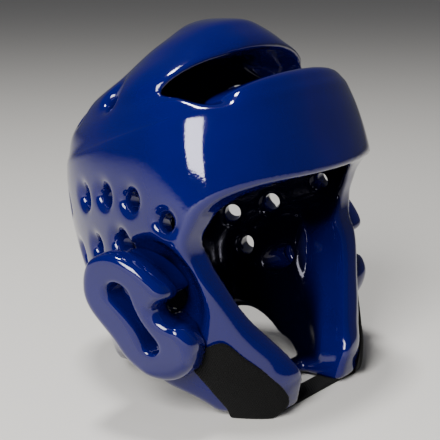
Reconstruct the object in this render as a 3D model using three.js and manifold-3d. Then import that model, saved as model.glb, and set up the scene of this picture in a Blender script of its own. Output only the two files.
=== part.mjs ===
import * as THREE from 'three';
import { mergeVertices } from 'three/addons/utils/BufferGeometryUtils.js';
import Module from 'manifold-3d';

// Taekwondo headgear of dipped foam, in millimetres. +Z is up and the face looks along -Y.
// The form is drawn upright, as on a level head, and then leans back by REST_TILT, so that
// it lies on its chin strap and its nape. The wearer's left is +X.

// Driving dimensions of the foam shell, upright.
const HALF_WIDTH = 104;        // from the middle to the side, at the temples
const FRONT_REACH = 92;        // from the ear line forward to the forehead
const BACK_REACH = 134;        // from the ear line back to the nape
const EAR_LINE = -60;          // the ears, along Y
const CROWN_HEIGHT = 242;      // top of the crown
const ROOM_HALF = 88;          // hollow for the head: half width, front, back and height
const ROOM_FRONT = 62;
const ROOM_BACK = 116;
const ROOM_HEIGHT = 224;
const REST_TILT = 20;          // degrees that the shell leans back as it lies

// Openings of the shell.
const BROW_HEIGHT = 0.463 * CROWN_HEIGHT;  // lower edge of the forehead band at the middle
const BROW_ARCH = 0.029 * CROWN_HEIGHT;    // how much higher that edge is over the eyes
const OPENING_HALF = 0.74 * HALF_WIDTH;    // half width of the face opening at the eyes
const OPENING_CHIN = 0.26 * HALF_WIDTH;    // and at the chin
const RIM_LINE = EAR_LINE - 0.36 * FRONT_REACH;  // front edge of the cheeks, along Y
const BAND_TOP = 0.773 * CROWN_HEIGHT;     // upper edge of the forehead band at the middle
const BAND_FALL = 0.037 * CROWN_HEIGHT;    // how much lower the band's upper edge is at its ends
const CRESCENT_HALF = 0.78 * HALF_WIDTH;   // half width of the crescent opening above the band
const CRESCENT_RISE = 0.1 * CROWN_HEIGHT;  // height of the crescent at the middle
const SEAM_HEIGHT = 0.723 * CROWN_HEIGHT;  // mould seam: above it the crown steps in
const SEAM_STEP = 1.6;
const VENT_RADIUS = 8.4;
const EAR_HOLE_RADIUS = 8;

// Ear pads and their dishes in the shell.
const PAD_CENTRE_Y = EAR_LINE + 0.098 * FRONT_REACH;
const PAD_CENTRE_Z = 0.248 * CROWN_HEIGHT;
const PAD_LENGTH = 0.663 * FRONT_REACH;  // along Y
const PAD_HEIGHT = 0.364 * CROWN_HEIGHT;  // along Z
const PAD_FACE = 1.163 * HALF_WIDTH;  // middle of the pad's flat face, from the middle plane
const PAD_LEAN = 18;           // degrees that the face leans outward going up
const DISH_FLOOR = 0.712 * HALF_WIDTH;  // deepest place of the dish round the ear hole
const DISH_DEPTH = 0.558 * HALF_WIDTH;  // radii of the round dish: across, along and up
const DISH_LENGTH = 0.576 * FRONT_REACH;
const DISH_HEIGHT = 0.231 * CROWN_HEIGHT;
const EAR_HOLE_SLANT = 0.72;   // how far the ear hole runs back for each unit inward
const PAD_BEVEL = 5;
const PAD_BULGE = 3;           // how far the pad's side wall stands out past its face
const SLOT_DEPTH = 15;
const SLOT_UPPER_RADIUS = 8.5;
const SLOT_LOWER_RADIUS = 6.5;
const SLOT_WAIST = 4.6;

// Chin strap.
const STRAP_THICKNESS = 2.5;
const STRAP_MIDDLE_WIDTH = 22;
const GAP = 0.3;               // between pieces that touch

// Resolution of the curved faces.
const RING_SIDES = 44;
const RINGS = 27;
const HOLE_SIDES = 12;
const OUTLINE_STEPS = 3;         // points between two rows of a pad outline

const wasm = await Module();
wasm.setup();

// Sections of the shell from the jaw to the crown, a row for each, used for the outside and for
// the hollow. level is a share of the height, half, front and back are shares of the reaches,
// ahead is how far the widest place lies before the ear line, as a share of FRONT_REACH,
// square is the exponent of the front curve, and snug narrows the hollow at the ears.
const SECTIONS = [
  { level: -0.17, half: 0.544, front: 0.598, back: 0.545, ahead: -0.196, square: 2.3, snug: 0.62 },
  { level: -0.103, half: 0.632, front: 0.693, back: 0.590, ahead: -0.196, square: 2.4, snug: 0.64 },
  { level: -0.033, half: 0.748, front: 0.741, back: 0.649, ahead: -0.196, square: 2.3, snug: 0.68 },
  { level: 0.033, half: 0.831, front: 0.778, back: 0.745, ahead: -0.185, square: 2.1, snug: 0.74 },
  { level: 0.15, half: 0.903, front: 0.842, back: 0.85, ahead: -0.097, square: 2, snug: 0.84 },
  { level: 0.26, half: 0.945, front: 0.900, back: 0.956, ahead: 0.040, square: 2, snug: 0.78 },
  { level: 0.365, half: 0.997, front: 0.796, back: 1.110, ahead: 0.204, square: 2.1, snug: 0.88 },
  { level: 0.465, half: 0.989, front: 0.722, back: 1.183, ahead: 0.278, square: 2.2, snug: 1 },
  { level: 0.58, half: 0.982, front: 0.723, back: 1.169, ahead: 0.277, square: 2.3, snug: 1 },
  { level: 0.68, half: 0.957, front: 0.750, back: 1.099, ahead: 0.244, square: 2.3, snug: 1 },
  { level: 0.77, half: 0.892, front: 0.772, back: 0.995, ahead: 0.196, square: 2.2, snug: 1 },
  { level: 0.81, half: 0.793, front: 0.595, back: 0.831, ahead: 0.126, square: 2.2, snug: 1 },
  { level: 0.855, half: 0.701, front: 0.532, back: 0.648, ahead: 0.044, square: 2.2, snug: 1 },
  { level: 0.893, half: 0.583, front: 0.521, back: 0.466, ahead: 0.052, square: 2.2, snug: 1 },
  { level: 0.925, half: 0.443, front: 0.400, back: 0.322, ahead: 0.120, square: 2.2, snug: 1 },
  { level: 0.95, half: 0.323, front: 0.298, back: 0.218, ahead: 0.181, square: 2.2, snug: 1 },
  { level: 0.972, half: 0.23, front: 0.186, back: 0.131, ahead: 0.197, square: 2.1, snug: 1 },
  { level: 0.99, half: 0.12, front: 0.12, back: 0.09, ahead: 0.156, square: 2, snug: 1 },
];
const BACK_SQUARE = 1.8;       // exponent of every section's back curve

// Pad outline, slot and ear hole, as shares of the pad's length and height from its centre.
const PAD_OUTLINE = [
  { along: 0.5, up: 0.16 },
  { along: 0.42, up: 0.33 },
  { along: 0.2, up: 0.475 },
  { along: -0.09, up: 0.485 },
  { along: -0.31, up: 0.37 },
  { along: -0.44, up: 0.22 },
  { along: -0.475, up: 0.12 },
  { along: -0.36, up: 0.09 },
  { along: -0.25, up: 0.045 },
  { along: -0.25, up: -0.045 },
  { along: -0.34, up: -0.12 },
  { along: -0.44, up: -0.17 },
  { along: -0.475, up: -0.29 },
  { along: -0.37, up: -0.41 },
  { along: -0.19, up: -0.48 },
  { along: 0.02, up: -0.495 },
  { along: 0.24, up: -0.43 },
  { along: 0.38, up: -0.28 },
  { along: 0.42, up: -0.1 },
];
const SLOT_UPPER = { along: 0.03, up: 0.2 };
const SLOT_LOWER = { along: -0.02, up: -0.21 };
const EAR_HOLE = { along: 0.03, up: 0.04 };

// Vents of one side: how far behind the ear line, as a share of FRONT_REACH, and at which
// share of the height.
const VENTS = [
  { along: 0.63, level: 0.601 },
  { along: 0.326, level: 0.587 },
  { along: 0.033, level: 0.554 },
  { along: -0.25, level: 0.473 },
  { along: 0.63, level: 0.455 },
  { along: 0.272, level: 0.455 },
  { along: 0.565, level: 0.339 },
  { along: 0.152, level: 0.851 },
  { along: 0.674, level: 0.851 },
  { along: 1.087, level: 0.599 },
  { along: 1, level: 0.446 },
  { along: 1.174, level: 0.322 },
];

// Side outline of the neck cut, from behind round to the chin, in the same shares.
const NECK_LINE = [
  { along: 1.63, level: 0.062 },
  { along: 1.304, level: 0.074 },
  { along: 1.13, level: 0.099 },
  { along: 0.891, level: 0.14 },
  { along: 0.652, level: 0.14 },
  { along: 0.478, level: 0.107 },
  { along: 0.304, level: 0.058 },
  { along: 0.152, level: 0.033 },
  { along: 0.054, level: -0.008 },
  { along: -0.022, level: -0.083 },
  { along: -0.13, level: -0.14 },
];

// Side outline of the brow and the rim, from the middle of the brow down to the chin: shift
// from RIM_LINE as a share of FRONT_REACH, then for the brow lift as a share of BROW_ARCH, and
// for the rim its share of the height.
const BROW_CURVE = [
  { shift: -0.652, lift: 0 },
  { shift: -0.598, lift: 0.7 },
  { shift: -0.478, lift: 1 },
  { shift: -0.261, lift: 0.75 },
  { shift: -0.12, lift: 0.15 },
];
const RIM_CURVE = [
  { shift: -0.043, level: 0.421 },
  { shift: -0.011, level: 0.364 },
  { shift: 0.011, level: 0.264 },
  { shift: 0.022, level: 0.149 },
  { shift: -0.065, level: 0.021 },
  { shift: -0.087, level: -0.033 },
  { shift: -0.011, level: -0.083 },
  { shift: 0.087, level: -0.14 },
];

// Half width of the face opening, as a share from OPENING_CHIN to OPENING_HALF, by level.
const OPENING_CURVE = [
  { share: 0.9, level: 0.446 },
  { share: 1.0, level: 0.397 },
  { share: 0.99, level: 0.322 },
  { share: 0.8, level: 0.223 },
  { share: 0.6, level: 0.153 },
  { share: 0.02, level: -0.029 },
  { share: 0.0, level: -0.248 },
];

const FAR = 300;
const EAR_HOLE_ROOT = DISH_FLOOR - 14;  // from the middle, inside the wall at the ear
const rad = THREE.MathUtils.degToRad;

// Y of a place that lies behind the ear line by a share of FRONT_REACH.
function behindEars(share) {
  return EAR_LINE + share * FRONT_REACH;
}

// Catmull-Rom value of one column of a table, t rows down it.
function column(table, key, t) {
  const last = table.length - 1;
  const i = Math.min(Math.floor(t), last - 1);
  const f = t - i;
  const p0 = table[Math.max(i - 1, 0)][key];
  const p1 = table[i][key];
  const p2 = table[i + 1][key];
  const p3 = table[Math.min(i + 2, last)][key];
  const b = p2 - p0;
  const c = 2 * p0 - 5 * p1 + 4 * p2 - p3;
  const d = 3 * p1 - p0 - 3 * p2 + p3;
  return 0.5 * (2 * p1 + b * f + c * f * f + d * f * f * f);
}

const SHELL_SIZE = { half: HALF_WIDTH, front: FRONT_REACH, back: BACK_REACH, height: CROWN_HEIGHT };
const ROOM_SIZE = {
  half: ROOM_HALF, front: ROOM_FRONT, back: ROOM_BACK, height: ROOM_HEIGHT, snug: true,
};

function sectionAt(size, t) {
  const value = (key) => column(SECTIONS, key, t);
  return {
    z: value('level') * size.height,
    half: value('half') * size.half * (size.snug ? value('snug') : 1),
    front: value('front') * size.front,
    back: value('back') * size.back,
    centre: EAR_LINE - value('ahead') * FRONT_REACH,
    square: value('square'),
  };
}

function sectionPoint(section, angle, grow) {
  const c = Math.cos(angle);
  const s = Math.sin(angle);
  const power = 2 / (s < 0 ? section.square : BACK_SQUARE);
  const reach = (s < 0 ? section.front : section.back) + grow;
  const x = (section.half + grow) * Math.sign(c) * Math.abs(c) ** power;
  const y = section.centre + reach * Math.sign(s) * Math.abs(s) ** power;
  return new THREE.Vector3(x, y, section.z);
}

// Closed loft through the sections, with its walls moved out by grow.
function loft(size, grow = 0) {
  const positions = [];
  for (let i = 0; i <= RINGS; i += 1) {
    const section = sectionAt(size, (SECTIONS.length - 1) * i / RINGS);
    const step = size === SHELL_SIZE && section.z > SEAM_HEIGHT ? -SEAM_STEP : 0;
    for (let j = 0; j < RING_SIDES; j += 1) {
      positions.push(...sectionPoint(section, 2 * Math.PI * j / RING_SIDES, grow + step).toArray());
    }
  }
  const indices = [];
  for (let i = 0; i < RINGS; i += 1) {
    for (let j = 0; j < RING_SIDES; j += 1) {
      const a = i * RING_SIDES + j;
      const b = i * RING_SIDES + (j + 1) % RING_SIDES;
      indices.push(a, b, b + RING_SIDES, a, b + RING_SIDES, a + RING_SIDES);
    }
  }
  const first = sectionAt(size, 0);
  const last = sectionAt(size, SECTIONS.length - 1);
  const bottom = positions.length / 3;
  positions.push(0, first.centre, first.z);
  positions.push(0, last.centre, size.height + grow);
  for (let j = 0; j < RING_SIDES; j += 1) {
    const next = (j + 1) % RING_SIDES;
    indices.push(bottom, next, j);
    indices.push(bottom + 1, RINGS * RING_SIDES + j, RINGS * RING_SIDES + next);
  }
  const geometry = new THREE.BufferGeometry();
  geometry.setAttribute('position', new THREE.Float32BufferAttribute(positions, 3));
  geometry.setIndex(indices);
  return geometry;
}

function toSolid(geometry) {
  let bare = geometry.clone();
  bare.deleteAttribute('normal');
  bare.deleteAttribute('uv');
  bare = mergeVertices(bare, 1e-4);
  return new wasm.Manifold(new wasm.Mesh({
    numProp: 3,
    vertProperties: new Float32Array(bare.attributes.position.array),
    triVerts: new Uint32Array(bare.index.array),
  }));
}

function toGeometry(solid) {
  const mesh = solid.getMesh();
  const geometry = new THREE.BufferGeometry();
  geometry.setAttribute('position', new THREE.Float32BufferAttribute(mesh.vertProperties, 3));
  geometry.setIndex([...mesh.triVerts]);
  return geometry;
}

// The same form on the other side of the middle.
function mirrored(geometry) {
  const copy = geometry.clone();
  copy.applyMatrix4(new THREE.Matrix4().makeScale(-1, 1, 1));
  const index = [...copy.index.array];
  for (let i = 0; i < index.length; i += 3) {
    [index[i], index[i + 1]] = [index[i + 1], index[i]];
  }
  copy.setIndex(index);
  return copy;
}

// Prism along X: a shape drawn in Y and Z, from one X to another.
function prismX(shape, from, to, options = {}) {
  const geometry = new THREE.ExtrudeGeometry(shape, {
    depth: to - from, bevelEnabled: false, curveSegments: 3, ...options,
  });
  const basis = new THREE.Matrix4().makeBasis(
    new THREE.Vector3(0, 1, 0), new THREE.Vector3(0, 0, 1), new THREE.Vector3(1, 0, 0));
  return geometry.applyMatrix4(basis.setPosition(from, 0, 0));
}

// Prism along Y: a shape drawn in X and Z, from one Y back to another.
function prismY(shape, from, to) {
  const geometry = new THREE.ExtrudeGeometry(shape, {
    depth: to - from, bevelEnabled: false, curveSegments: 3,
  });
  const basis = new THREE.Matrix4().makeBasis(
    new THREE.Vector3(1, 0, 0), new THREE.Vector3(0, 0, 1), new THREE.Vector3(0, -1, 0));
  return geometry.applyMatrix4(basis.setPosition(0, to, 0));
}

function boxBetween(low, high) {
  const size = high.map((value, i) => value - low[i]);
  const geometry = new THREE.BoxGeometry(...size);
  return geometry.translate(...low.map((value, i) => value + size[i] / 2));
}

function padShape() {
  const knots = PAD_OUTLINE.map((p) => new THREE.Vector3(
    PAD_CENTRE_Y + p.along * PAD_LENGTH, PAD_CENTRE_Z + p.up * PAD_HEIGHT, 0));
  const loop = new THREE.CatmullRomCurve3(knots, true, 'centripetal');
  const points = loop.getPoints(knots.length * OUTLINE_STEPS).slice(0, -1);
  return new THREE.Shape(points.map((point) => new THREE.Vector2(point.x, point.y)));
}

function padPlace(place) {
  return new THREE.Vector2(
    PAD_CENTRE_Y + place.along * PAD_LENGTH, PAD_CENTRE_Z + place.up * PAD_HEIGHT);
}

// Cylinder from one point to another.
function rod(from, to, radius, sides = HOLE_SIDES) {
  const axis = new THREE.Vector3().subVectors(to, from);
  const geometry = new THREE.CylinderGeometry(radius, radius, axis.length(), sides);
  const turn = new THREE.Quaternion().setFromUnitVectors(
    new THREE.Vector3(0, 1, 0), axis.clone().normalize());
  geometry.applyQuaternion(turn);
  const middle = new THREE.Vector3().addVectors(from, to).multiplyScalar(0.5);
  return geometry.translate(middle.x, middle.y, middle.z);
}

// How far down the table of sections the outside has height z.
function rowAt(z) {
  let low = 0;
  let high = SECTIONS.length - 1;
  for (let i = 0; i < 40; i += 1) {
    const middle = (low + high) / 2;
    if (sectionAt(SHELL_SIZE, middle).z < z) low = middle;
    else high = middle;
  }
  return low;
}

// Everything in front of the rim line and below the forehead band, seen from the side.
function rimCut() {
  const brow = BROW_CURVE.map((p) => new THREE.Vector2(
    RIM_LINE + p.shift * FRONT_REACH, BROW_HEIGHT + p.lift * BROW_ARCH));
  const rim = RIM_CURVE.map((p) => new THREE.Vector2(
    RIM_LINE + p.shift * FRONT_REACH, p.level * CROWN_HEIGHT));
  const shape = new THREE.Shape();
  shape.moveTo(-FAR, brow[0].y);
  shape.lineTo(brow[0].x, brow[0].y);
  shape.splineThru([...brow.slice(1), ...rim]);
  shape.lineTo(rim.at(-1).x, -FAR);
  shape.lineTo(-FAR, -FAR);
  return toSolid(prismX(shape, -FAR, FAR));
}

// The face opening, seen from the front.
function faceCut() {
  const side = OPENING_CURVE.map((p) => new THREE.Vector2(
    OPENING_CHIN + p.share * (OPENING_HALF - OPENING_CHIN), p.level * CROWN_HEIGHT));
  const shape = new THREE.Shape();
  shape.moveTo(-side[0].x, side[0].y);
  shape.lineTo(side[0].x, side[0].y);
  shape.splineThru(side.slice(1));
  const left = side.slice(0, -1).reverse().map((p) => new THREE.Vector2(-p.x, p.y));
  shape.lineTo(-side.at(-1).x, side.at(-1).y);
  shape.splineThru(left.slice(0, -1));
  return toSolid(prismY(shape, -FAR, EAR_LINE));
}

// The crescent between the forehead band and the crown, seen from the front.
function crescentCut() {
  const end = BAND_TOP - BAND_FALL;
  const shape = new THREE.Shape();
  const blunt = CRESCENT_RISE * 0.45;
  const top = BAND_TOP + CRESCENT_RISE;
  shape.moveTo(-CRESCENT_HALF, end + blunt);
  shape.quadraticCurveTo(-CRESCENT_HALF, end, -CRESCENT_HALF + blunt, end);
  shape.quadraticCurveTo(0, BAND_TOP + BAND_FALL, CRESCENT_HALF - blunt, end);
  shape.quadraticCurveTo(CRESCENT_HALF, end, CRESCENT_HALF, end + blunt);
  shape.bezierCurveTo(CRESCENT_HALF * 0.9, top, CRESCENT_HALF * 0.5, top, 0, top);
  shape.bezierCurveTo(
    -CRESCENT_HALF * 0.5, top, -CRESCENT_HALF * 0.9, top, -CRESCENT_HALF, end + blunt);
  return toSolid(prismY(shape, -FAR, EAR_LINE - CRESCENT_RISE));
}

// Everything below the neck line, seen from the side.
function neckCut() {
  const curve = NECK_LINE.map((p) => new THREE.Vector2(
    behindEars(p.along), p.level * CROWN_HEIGHT));
  const shape = new THREE.Shape();
  shape.moveTo(FAR, -FAR);
  shape.lineTo(FAR, curve[0].y);
  shape.lineTo(curve[0].x, curve[0].y);
  shape.splineThru(curve.slice(1));
  shape.lineTo(curve.at(-1).x, -FAR);
  return toSolid(prismX(shape, -FAR, FAR));
}

// One vent through the wall, square to the section at its place.
function ventCut(vent, side) {
  const level = vent.level * CROWN_HEIGHT;
  const y = behindEars(vent.along);
  const section = sectionAt(SHELL_SIZE, rowAt(level));
  const front = y < section.centre;
  const square = front ? section.square : BACK_SQUARE;
  const reach = front ? -section.front : section.back;
  const along = (y - section.centre) / reach;
  const x = section.half * (1 - along ** square) ** (1 / square);
  const below = sectionAt(SHELL_SIZE, rowAt(level - 3));
  const outward = new THREE.Vector3(
    (x / section.half) ** (square - 1) / section.half, along ** (square - 1) / reach, 0);
  outward.normalize();
  outward.z = (below.half - section.half) / 3;
  outward.normalize();
  const point = new THREE.Vector3(x, y, section.z);
  const from = point.clone().addScaledVector(outward, -45);
  const to = point.clone().addScaledVector(outward, 12);
  from.x *= side;
  to.x *= side;
  return toSolid(rod(from, to, VENT_RADIUS));
}

function buildShell() {
  let shell = toSolid(loft(SHELL_SIZE));
  shell = shell.subtract(toSolid(loft(ROOM_SIZE)));
  shell = shell.subtract(rimCut());
  shell = shell.subtract(faceCut());
  shell = shell.subtract(crescentCut());
  shell = shell.subtract(neckCut());
  const dish = dishForm(0);
  const hole = padPlace(EAR_HOLE);
  const reach = 30;
  const holeRod = rod(
    new THREE.Vector3(DISH_FLOOR - reach, hole.x + reach * EAR_HOLE_SLANT, hole.y),
    new THREE.Vector3(DISH_FLOOR + reach, hole.x - reach * EAR_HOLE_SLANT, hole.y), EAR_HOLE_RADIUS);
  for (const side of [-1, 1]) {
    shell = shell.subtract(toSolid(side > 0 ? indexed(dish) : mirrored(indexed(dish))));
    shell = shell.subtract(toSolid(side > 0 ? indexed(holeRod) : mirrored(indexed(holeRod))));
    for (const vent of VENTS) {
      shell = shell.subtract(ventCut(vent, side));
    }
  }
  return toGeometry(shell);
}

function indexed(geometry) {
  const bare = geometry.clone();
  bare.deleteAttribute('normal');
  bare.deleteAttribute('uv');
  return mergeVertices(bare, 1e-4);
}

// The round dish of the left side, smaller all round by room.
function dishForm(room) {
  const hole = padPlace(EAR_HOLE);
  const ball = new THREE.SphereGeometry(1, 36, 24);
  ball.scale(DISH_DEPTH - room, DISH_LENGTH - room, DISH_HEIGHT - room);
  return ball.translate(DISH_FLOOR + DISH_DEPTH, hole.x, hole.y);
}

// Leans the pad's face outward going up, with its back left in place.
function faceLeant(geometry) {
  const position = geometry.attributes.position;
  const slope = Math.tan(rad(PAD_LEAN)) / (PAD_FACE - DISH_FLOOR);
  for (let i = 0; i < position.count; i += 1) {
    const depth = position.getX(i) - DISH_FLOOR;
    position.setX(i, DISH_FLOOR + depth * (1 + slope * (position.getZ(i) - PAD_CENTRE_Z)));
  }
  return geometry;
}

// Slot of the pad's face: two round ends joined by a narrower waist.
function slotShape() {
  const top = padPlace(SLOT_UPPER);
  const low = padPlace(SLOT_LOWER);
  const line = new THREE.Vector2().subVectors(top, low);
  const lean = Math.atan2(line.y, line.x);
  const steps = 8;
  const points = [];
  for (let i = 0; i <= steps; i += 1) {
    const a = lean - Math.PI / 2 + Math.PI * i / steps;
    points.push(new THREE.Vector2(
      top.x + SLOT_UPPER_RADIUS * Math.cos(a), top.y + SLOT_UPPER_RADIUS * Math.sin(a)));
  }
  const middle = new THREE.Vector2().addVectors(top, low).multiplyScalar(0.5);
  const across = new THREE.Vector2(-line.y, line.x).normalize();
  points.push(middle.clone().addScaledVector(across, SLOT_WAIST));
  for (let i = 0; i <= steps; i += 1) {
    const a = lean + Math.PI / 2 + Math.PI * i / steps;
    points.push(new THREE.Vector2(
      low.x + SLOT_LOWER_RADIUS * Math.cos(a), low.y + SLOT_LOWER_RADIUS * Math.sin(a)));
  }
  points.push(middle.clone().addScaledVector(across, -SLOT_WAIST));
  return new THREE.Shape(points);
}

// Ear pad of the left side: thick block with a front notch, a slot in its face and room for
// the ear hole behind the notch. Its back fits the shell and the dish.
function buildPad() {
  const block = prismX(padShape(), EAR_HOLE_ROOT, PAD_FACE - PAD_BEVEL, {
    bevelEnabled: true,
    bevelThickness: PAD_BEVEL,
    bevelSize: PAD_BULGE,
    bevelSegments: 2,
  });
  const slot = prismX(slotShape(), PAD_FACE - SLOT_DEPTH, PAD_FACE + SLOT_DEPTH);
  const body = toSolid(loft(SHELL_SIZE, GAP)).subtract(toSolid(dishForm(GAP)));
  const hole = padPlace(EAR_HOLE);
  const reach = DISH_FLOOR - EAR_HOLE_ROOT;
  const holeRoom = rod(
    new THREE.Vector3(DISH_FLOOR - reach, hole.x + reach * EAR_HOLE_SLANT, hole.y),
    new THREE.Vector3(DISH_FLOOR + 45, hole.x - 45 * EAR_HOLE_SLANT, hole.y), EAR_HOLE_RADIUS);
  const pad = toSolid(faceLeant(block))
    .subtract(toSolid(faceLeant(slot)))
    .subtract(body)
    .subtract(toSolid(holeRoom));
  return toGeometry(pad);
}

// Leans an upright form back to the way it lies.
const LEAN = new THREE.Matrix4().makeRotationX(-rad(REST_TILT));

function lying(geometry) {
  return geometry.clone().applyMatrix4(LEAN);
}

// The lying shell, trimmed level where it meets the floor and the strap.
function trimmedShell(shell) {
  let solid = toSolid(lying(shell));
  solid = solid.subtract(toSolid(boxBetween([-FAR, 0, -FAR], [FAR, FAR, 0])));
  solid = solid.subtract(toSolid(boxBetween([-FAR, -FAR, -FAR], [FAR, 0.1, STRAP_THICKNESS + GAP])));
  return toGeometry(solid);
}

// Side outline of the strap on the cheek, as it lies: back from the middle of the headgear and
// up from the floor, as shares of FRONT_REACH and CROWN_HEIGHT.
const STRAP_SIDE = [
  { along: -0.5217, level: 0.1818 },
  { along: -0.7935, level: 0.2397 },
  { along: -0.9783, level: 0.1529 },
  { along: -1.0435, level: 0.0661 },
  { along: -1.0109, level: 0 },
  { along: -0.7065, level: 0 },
  { along: -0.7174, level: 0.0331 },
  { along: -0.6413, level: 0.0992 },
].map((p) => new THREE.Vector2(p.along * FRONT_REACH, p.level * CROWN_HEIGHT));

// The strap's outline on the cheek as a prism through both sides, grown all round by room.
function strapSide(room) {
  const centre = new THREE.Vector2();
  STRAP_SIDE.forEach((p) => centre.add(p));
  centre.divideScalar(STRAP_SIDE.length);
  const points = STRAP_SIDE.map((p) => p.clone().add(p.clone().sub(centre).setLength(room)));
  return toSolid(prismX(new THREE.Shape(points), -FAR, FAR));
}

// The strap hugs both cheeks and runs flat under the chin between them.
function buildStrap() {
  const skin = toSolid(lying(loft(SHELL_SIZE, GAP + STRAP_THICKNESS)));
  const body = toSolid(lying(loft(SHELL_SIZE, GAP)));
  const above = toSolid(boxBetween([-FAR, -FAR, 0], [FAR, FAR, FAR]));
  const hug = skin.subtract(body).intersect(strapSide(0)).intersect(above);
  const wide = STRAP_SIDE[4].x;
  const rear = STRAP_SIDE[5].x;
  const middle = (wide + rear) / 2;
  const plan = new THREE.Shape();
  plan.moveTo(-FAR, wide);
  plan.lineTo(-70, wide);
  plan.quadraticCurveTo(-40, wide, -30, middle - STRAP_MIDDLE_WIDTH / 2);
  plan.lineTo(30, middle - STRAP_MIDDLE_WIDTH / 2);
  plan.quadraticCurveTo(40, wide, 70, wide);
  plan.lineTo(FAR, wide);
  plan.lineTo(FAR, rear);
  plan.lineTo(70, rear);
  plan.quadraticCurveTo(40, rear, 30, middle + STRAP_MIDDLE_WIDTH / 2);
  plan.lineTo(-30, middle + STRAP_MIDDLE_WIDTH / 2);
  plan.quadraticCurveTo(-40, rear, -70, rear);
  plan.lineTo(-FAR, rear);
  const plate = new THREE.ExtrudeGeometry(plan, {
    depth: STRAP_THICKNESS, bevelEnabled: false, curveSegments: 4,
  });
  const flat = toSolid(plate).intersect(skin);
  return toGeometry(flat.add(hug));
}

const vinyl = () => new THREE.MeshStandardMaterial({ color: 0x00106e, roughness: 0.12, metalness: 0 });
const webbing = () => new THREE.MeshStandardMaterial({ color: 0x121214, roughness: 0.9, metalness: 0 });

// The lying pad of the left side, hollowed where it passes over the strap.
function seatedPad() {
  const room = toSolid(lying(loft(SHELL_SIZE, 2 * GAP + STRAP_THICKNESS)));
  return toGeometry(toSolid(lying(buildPad())).subtract(room.intersect(strapSide(1))));
}

const padLeft = seatedPad();
const pieces = [
  { name: 'shell', geometry: trimmedShell(buildShell()), material: vinyl() },
  { name: 'ear_pad_left', geometry: padLeft, material: vinyl() },
  { name: 'ear_pad_right', geometry: mirrored(padLeft), material: vinyl() },
  { name: 'chin_strap', geometry: buildStrap(), material: webbing() },
];

const headgear = new THREE.Group();
for (const piece of pieces) {
  const mesh = new THREE.Mesh(piece.geometry, piece.material);
  mesh.name = piece.name;
  headgear.add(mesh);
}
headgear.updateMatrixWorld(true);
const bounds = new THREE.Box3().setFromObject(headgear);
headgear.position.y = -(bounds.min.y + bounds.max.y) / 2;

export default headgear;
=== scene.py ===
"""Taekwondo headgear of dipped foam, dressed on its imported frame.

The soft forms are shaped upright, in millimetres, as distance fields on a lattice. They are
then meshed, leant back the way the headgear lies, and placed in metres on the frame.
"""

import logging
import math
from dataclasses import dataclass
from enum import Enum

import bpy
import numpy as np
import openvdb
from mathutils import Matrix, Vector


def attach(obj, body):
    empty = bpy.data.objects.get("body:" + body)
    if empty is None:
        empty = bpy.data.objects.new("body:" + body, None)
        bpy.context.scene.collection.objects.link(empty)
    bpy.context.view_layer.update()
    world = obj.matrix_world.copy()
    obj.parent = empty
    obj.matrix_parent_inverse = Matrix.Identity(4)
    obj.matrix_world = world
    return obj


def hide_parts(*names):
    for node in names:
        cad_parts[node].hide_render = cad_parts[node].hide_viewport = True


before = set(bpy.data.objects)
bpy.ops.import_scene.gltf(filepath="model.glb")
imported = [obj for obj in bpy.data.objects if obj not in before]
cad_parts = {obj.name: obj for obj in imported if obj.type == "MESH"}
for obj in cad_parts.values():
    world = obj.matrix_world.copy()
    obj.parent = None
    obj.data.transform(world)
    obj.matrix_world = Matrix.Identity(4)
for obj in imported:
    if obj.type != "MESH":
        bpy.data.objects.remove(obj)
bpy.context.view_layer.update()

log = logging.getLogger("headgear")

Array = np.ndarray
Pair = tuple[float, float]
Triple = tuple[float, float, float]
Tree = bpy.types.NodeTree
Socket = bpy.types.NodeSocket
Outputs = bpy.types.bpy_prop_collection

REST_TILT = math.radians(20.0)
SHIFT_Y = -6.5115
MM = 1000.0
FAR = 400.0
HALF_WIDTH = 104.0
FRONT_REACH = 92.0
BACK_REACH = 134.0
EAR_LINE = -60.0
CROWN_HEIGHT = 242.0
BACK_SQUARE = 1.8
CURVE_STEPS = 6

# Space in which the shell's skin is known, and how far from the skin on either side.
SKIN_STEP = 2.0
SKIN_LOW = (-112, -166, -48)
SKIN_HIGH = (112, 86, 256)
KNOWN_OUTSIDE = 34.0
KNOWN_INSIDE = 44.0

# Sections of the shell from the jaw to the crown: level, half, front, back, ahead, square.
SECTIONS = np.array([
    (-0.17, 0.544, 0.598, 0.545, -0.196, 2.3),
    (-0.103, 0.632, 0.693, 0.590, -0.196, 2.4),
    (-0.033, 0.748, 0.741, 0.649, -0.196, 2.3),
    (0.033, 0.831, 0.778, 0.745, -0.185, 2.1),
    (0.15, 0.903, 0.842, 0.85, -0.097, 2.0),
    (0.26, 0.945, 0.900, 0.956, 0.040, 2.0),
    (0.365, 0.997, 0.796, 1.110, 0.204, 2.1),
    (0.465, 0.989, 0.722, 1.183, 0.278, 2.2),
    (0.58, 0.982, 0.723, 1.169, 0.277, 2.3),
    (0.68, 0.957, 0.750, 1.099, 0.244, 2.3),
    (0.77, 0.892, 0.772, 0.995, 0.196, 2.2),
    (0.81, 0.822, 0.63, 0.875, 0.126, 2.2),
    (0.855, 0.73, 0.55, 0.69, 0.06, 2.2),
    (0.893, 0.583, 0.521, 0.466, 0.052, 2.2),
    (0.925, 0.443, 0.400, 0.322, 0.120, 2.2),
    (0.95, 0.323, 0.298, 0.218, 0.181, 2.2),
    (0.972, 0.23, 0.186, 0.131, 0.197, 2.1),
    (0.99, 0.12, 0.12, 0.09, 0.156, 2.0),
])


class Side(Enum):
    """Side of the wearer that a piece is on."""

    LEFT = 1
    RIGHT = -1


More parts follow.
